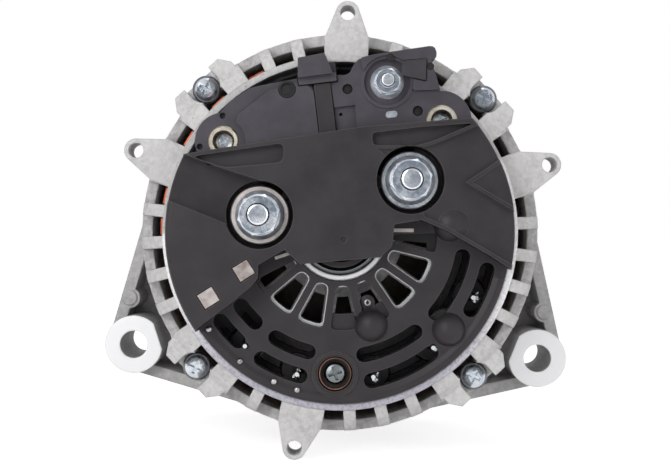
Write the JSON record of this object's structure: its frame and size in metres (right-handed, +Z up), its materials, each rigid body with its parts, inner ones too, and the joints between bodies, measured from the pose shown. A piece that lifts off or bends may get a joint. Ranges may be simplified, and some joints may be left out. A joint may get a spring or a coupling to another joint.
{
  "type": "engine alternator",
  "caption": "Air-cooled claw-pole alternator with a ribbed belt pulley, twin pivot bosses, two battery studs and a lamp terminal.",
  "frame": {"origin": "on the shaft axis at the middle of the belt ribs of the pulley", "axes": "+Y along the shaft towards the pulley nut, -Y towards the terminals, +Z up between the pivot bosses and the top ear, +X to the right when the terminals are faced"},
  "size_m": [0.1768, 0.192, 0.1638],
  "materials": {
    "cast_aluminium": "fine sand-cast skin with machined faces",
    "heat_sink_aluminium": "bright rolled",
    "lamination_steel": "dark rolled",
    "winding_copper": "enamelled copper",
    "slot_paper": "matt",
    "zinc_steel": "bright zinc",
    "yellow_zinc": "pale yellow zinc",
    "bearing_steel": "polished",
    "cage_brass": "satin",
    "seal_rubber": "matt",
    "plain_steel": "turned or pressed",
    "pulley_steel": "dark phosphate",
    "bush_plastic": "matt",
    "sink_fibre": "matt",
    "black_plastic": "satin moulding",
    "slate_plastic": "satin moulding",
    "dark_plastic": "satin moulding",
    "contact_metal": "dull beige plating",
    "tinned_copper": "tinned",
    "carbon": "matt carbon"
  },
  "bodies": {
    "housing": {"drive_end_bracket": "cast_aluminium", "rear_bracket": "cast_aluminium", "negative_heat_sink": "heat_sink_aluminium", "positive_heat_sink": "heat_sink_aluminium", "stator_core": "lamination_steel", "stator_winding": "winding_copper", "slot_liners": "slot_paper", "through_bolts": "zinc_steel", "bolt_washers": "zinc_steel", "retainer_screws": "zinc_steel", "rectifier_screw": "zinc_steel", "battery_studs": "zinc_steel", "battery_nuts": "zinc_steel", "stud_washer": "zinc_steel", "lamp_stud": "zinc_steel", "lamp_nut": "zinc_steel", "regulator_screws": "zinc_steel", "negative_diodes": "zinc_steel", "positive_diodes": "zinc_steel", "screw_sleeves": "yellow_zinc", "front_bearing_outer_ring": "bearing_steel", "rear_bearing_outer_ring": "bearing_steel", "bearing_seals": "seal_rubber", "bearing_retainer": "plain_steel", "inner_brush_spring": "plain_steel", "outer_brush_spring": "plain_steel", "rear_bearing_bush": "bush_plastic", "sink_insulators": "sink_fibre", "rectifier_board": "black_plastic", "terminal_cover": "black_plastic", "brush_holder": "black_plastic", "brush_cap": "slate_plastic", "regulator_housing": "slate_plastic", "regulator_lid": "slate_plastic", "terminal_block": "slate_plastic", "block_shutter": "dark_plastic", "contact_discs": "contact_metal", "weld_tabs": "tinned_copper"},
    "rotor": {"shaft": "plain_steel", "claw_pole_front": "lamination_steel", "claw_pole_rear": "lamination_steel", "coil_bobbin": "slot_paper", "field_coil": "winding_copper", "front_fan": "plain_steel", "rear_fan": "plain_steel", "front_bearing_inner_ring": "bearing_steel", "rear_bearing_inner_ring": "bearing_steel", "slip_ring_carrier": "black_plastic", "slip_rings": "winding_copper", "pulley_spacer": "plain_steel", "pulley": "pulley_steel", "pulley_washer": "zinc_steel", "pulley_nut": "zinc_steel"},
    "front_ball_set": {"front_bearing_balls": "bearing_steel", "front_bearing_cage": "cage_brass"},
    "rear_ball_set": {"rear_bearing_balls": "bearing_steel", "rear_bearing_cage": "cage_brass"},
    "inner_brush": {"inner_brush": "carbon"},
    "outer_brush": {"outer_brush": "carbon"}
  },
  "joints": [
    {"name": "rotor_spin", "type": "hinge", "parent": "housing", "child": "rotor", "pos_m": [0, 0, 0], "axis": [0, 1, 0], "continuous": true},
    {"name": "front_balls_roll", "type": "hinge", "parent": "housing", "child": "front_ball_set", "pos_m": [0, 0, 0], "axis": [0, 1, 0], "continuous": true},
    {"name": "rear_balls_roll", "type": "hinge", "parent": "housing", "child": "rear_ball_set", "pos_m": [0, 0, 0], "axis": [0, 1, 0], "continuous": true},
    {"name": "inner_brush_slide", "type": "slide", "parent": "housing", "child": "inner_brush", "axis": [-0.1564, 0, 0.9877], "range_m": [0, 0.008], "stiffness_N_per_m": 60, "springref_m": -0.03, "deforming": ["inner_brush_spring"]},
    {"name": "outer_brush_slide", "type": "slide", "parent": "housing", "child": "outer_brush", "axis": [-0.1564, 0, 0.9877], "range_m": [0, 0.008], "stiffness_N_per_m": 60, "springref_m": -0.03, "deforming": ["outer_brush_spring"]}
  ],
  "couplings": [
    {"joint": "front_balls_roll", "follows": "rotor_spin", "ratio": 0.364},
    {"joint": "rear_balls_roll", "follows": "rotor_spin", "ratio": 0.384}
  ]
}
